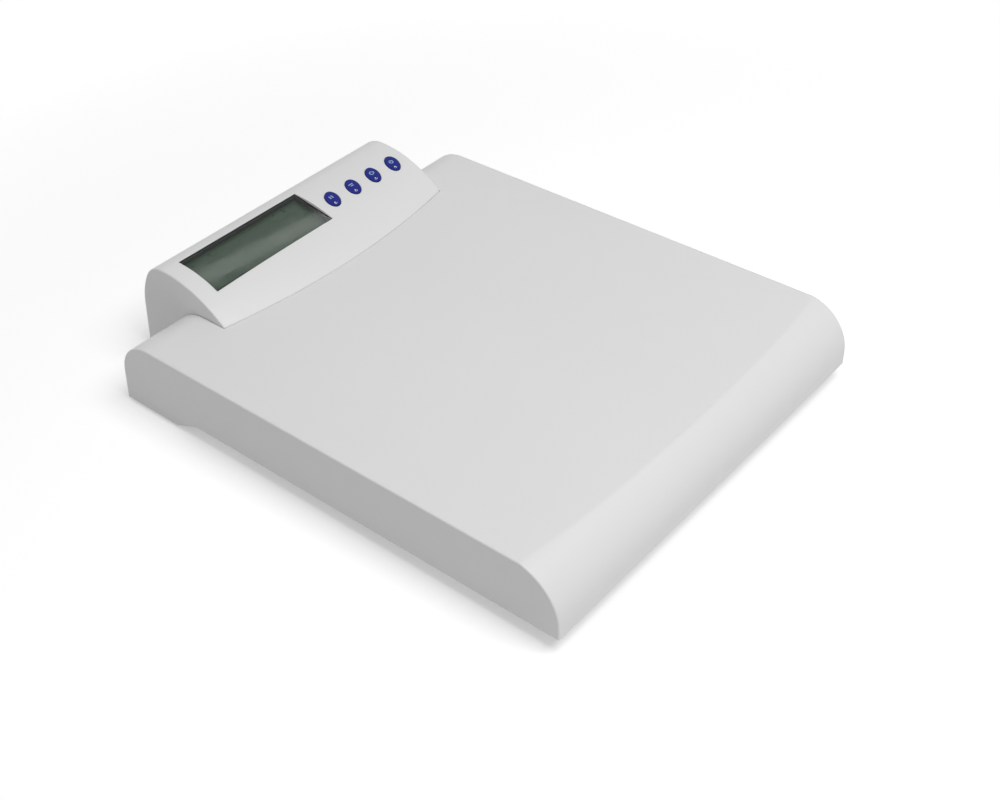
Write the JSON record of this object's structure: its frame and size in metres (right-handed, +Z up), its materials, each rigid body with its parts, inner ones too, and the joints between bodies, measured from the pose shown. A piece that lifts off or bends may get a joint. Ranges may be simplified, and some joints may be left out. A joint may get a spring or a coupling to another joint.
{
  "type": "medical floor scale",
  "caption": "Low medical floor scale with a moulded platform, a sloping display console with oval keys, load cells and levelling feet.",
  "frame": {"origin": "on the floor, under the middle of the whole outline", "axes": "+Z up, +Y from the bull-nose front to the display console at the rear, +X to the reader's right"},
  "size_m": [0.4, 0.5164, 0.0984],
  "materials": {
    "white_plastic": "fine satin",
    "base_plastic": "matt",
    "frame_steel": "powder coat",
    "cell_aluminium": "machined",
    "plated_steel": "zinc plated",
    "foot_rubber": "matt",
    "key_blue": "satin",
    "dark_plastic": "matt",
    "lens": "clear",
    "lcd": "grey green",
    "light_guide": "milky",
    "board_green": "solder mask",
    "board_parts": "matt",
    "battery_wrap": "satin wrap"
  },
  "bodies": {
    "platform": {"batteries": "battery_wrap", "battery_box": "base_plastic", "battery_contacts": "plated_steel", "board_parts": "board_parts", "board_screws": "plated_steel", "bracket_screws": "plated_steel", "buzzer": "dark_plastic", "cell_bolts": "plated_steel", "cell_spacers": "frame_steel", "console_base": "base_plastic", "console_bracket_left": "frame_steel", "console_bracket_right": "frame_steel", "console_housing": "white_plastic", "console_screws": "plated_steel", "cover_screws": "plated_steel", "crossbar_front": "frame_steel", "crossbar_middle": "frame_steel", "crossbar_rear": "frame_steel", "dc_inlet": "dark_plastic", "deck_plate": "frame_steel", "display_bezel": "dark_plastic", "display_board": "board_green", "display_lens": "lens", "display_screws": "plated_steel", "gauge_covers": "dark_plastic", "key_board": "board_green", "key_board_screws": "plated_steel", "key_switches": "dark_plastic", "lcd_backlight": "light_guide", "lcd_glass": "lcd", "load_cell_front_left": "cell_aluminium", "load_cell_front_right": "cell_aluminium", "load_cell_rear_left": "cell_aluminium", "load_cell_rear_right": "cell_aluminium", "main_board": "board_green", "platform_cover": "white_plastic", "rail_left": "frame_steel", "rail_right": "frame_steel"},
    "hold_key": {"hold_key": "key_blue", "hold_plunger": "dark_plastic"},
    "unit_key": {"unit_key": "key_blue", "unit_plunger": "dark_plastic"},
    "tare_key": {"tare_key": "key_blue", "tare_plunger": "dark_plastic"},
    "power_key": {"power_key": "key_blue", "power_plunger": "dark_plastic"},
    "battery_door": {"battery_door": "base_plastic"},
    "front_left_pad": {"foot_pad_front_left": "foot_rubber"},
    "front_left_stem": {"foot_stem_front_left": "plated_steel"},
    "front_right_pad": {"foot_pad_front_right": "foot_rubber"},
    "front_right_stem": {"foot_stem_front_right": "plated_steel"},
    "rear_left_pad": {"foot_pad_rear_left": "foot_rubber"},
    "rear_left_stem": {"foot_stem_rear_left": "plated_steel"},
    "rear_right_pad": {"foot_pad_rear_right": "foot_rubber"},
    "rear_right_stem": {"foot_stem_rear_right": "plated_steel"}
  },
  "joints": [
    {"name": "hold_key_press", "type": "slide", "parent": "platform", "child": "hold_key", "axis": [0, 0.229, -0.9734], "range_m": [0, 0.0006], "stiffness_N_per_m": 1500, "springref_m": -0.0006},
    {"name": "unit_key_press", "type": "slide", "parent": "platform", "child": "unit_key", "axis": [0, 0.229, -0.9734], "range_m": [0, 0.0006], "stiffness_N_per_m": 1500, "springref_m": -0.0006},
    {"name": "tare_key_press", "type": "slide", "parent": "platform", "child": "tare_key", "axis": [0, 0.229, -0.9734], "range_m": [0, 0.0006], "stiffness_N_per_m": 1500, "springref_m": -0.0006},
    {"name": "power_key_press", "type": "slide", "parent": "platform", "child": "power_key", "axis": [0, 0.229, -0.9734], "range_m": [0, 0.0006], "stiffness_N_per_m": 1500, "springref_m": -0.0006},
    {"name": "battery_door_slide", "type": "slide", "parent": "platform", "child": "battery_door", "axis": [0, 1, 0], "range_m": [0, 0.095]},
    {"name": "front_left_pad_height", "type": "slide", "parent": "platform", "child": "front_left_pad", "axis": [0, 0, -1], "range_m": [0, 0.006]},
    {"name": "front_left_stem_turn", "type": "hinge", "parent": "front_left_pad", "child": "front_left_stem", "pos_m": [-0.16, -0.19225, 0.0076], "axis": [0, 0, -1], "range_deg": [0, 1440]},
    {"name": "front_right_pad_height", "type": "slide", "parent": "platform", "child": "front_right_pad", "axis": [0, 0, -1], "range_m": [0, 0.006]},
    {"name": "front_right_stem_turn", "type": "hinge", "parent": "front_right_pad", "child": "front_right_stem", "pos_m": [0.16, -0.19225, 0.0076], "axis": [0, 0, -1], "range_deg": [0, 1440]},
    {"name": "rear_left_pad_height", "type": "slide", "parent": "platform", "child": "rear_left_pad", "axis": [0, 0, -1], "range_m": [0, 0.006]},
    {"name": "rear_left_stem_turn", "type": "hinge", "parent": "rear_left_pad", "child": "rear_left_stem", "pos_m": [-0.16, 0.17225, 0.0076], "axis": [0, 0, -1], "range_deg": [0, 1440]},
    {"name": "rear_right_pad_height", "type": "slide", "parent": "platform", "child": "rear_right_pad", "axis": [0, 0, -1], "range_m": [0, 0.006]},
    {"name": "rear_right_stem_turn", "type": "hinge", "parent": "rear_right_pad", "child": "rear_right_stem", "pos_m": [0.16, 0.17225, 0.0076], "axis": [0, 0, -1], "range_deg": [0, 1440]}
  ],
  "couplings": [
    {"joint": "front_left_stem_turn", "follows": "front_left_pad_height", "rad_per_m": 4188.8},
    {"joint": "front_right_stem_turn", "follows": "front_right_pad_height", "rad_per_m": 4188.8},
    {"joint": "rear_left_stem_turn", "follows": "rear_left_pad_height", "rad_per_m": 4188.8},
    {"joint": "rear_right_stem_turn", "follows": "rear_right_pad_height", "rad_per_m": 4188.8}
  ]
}
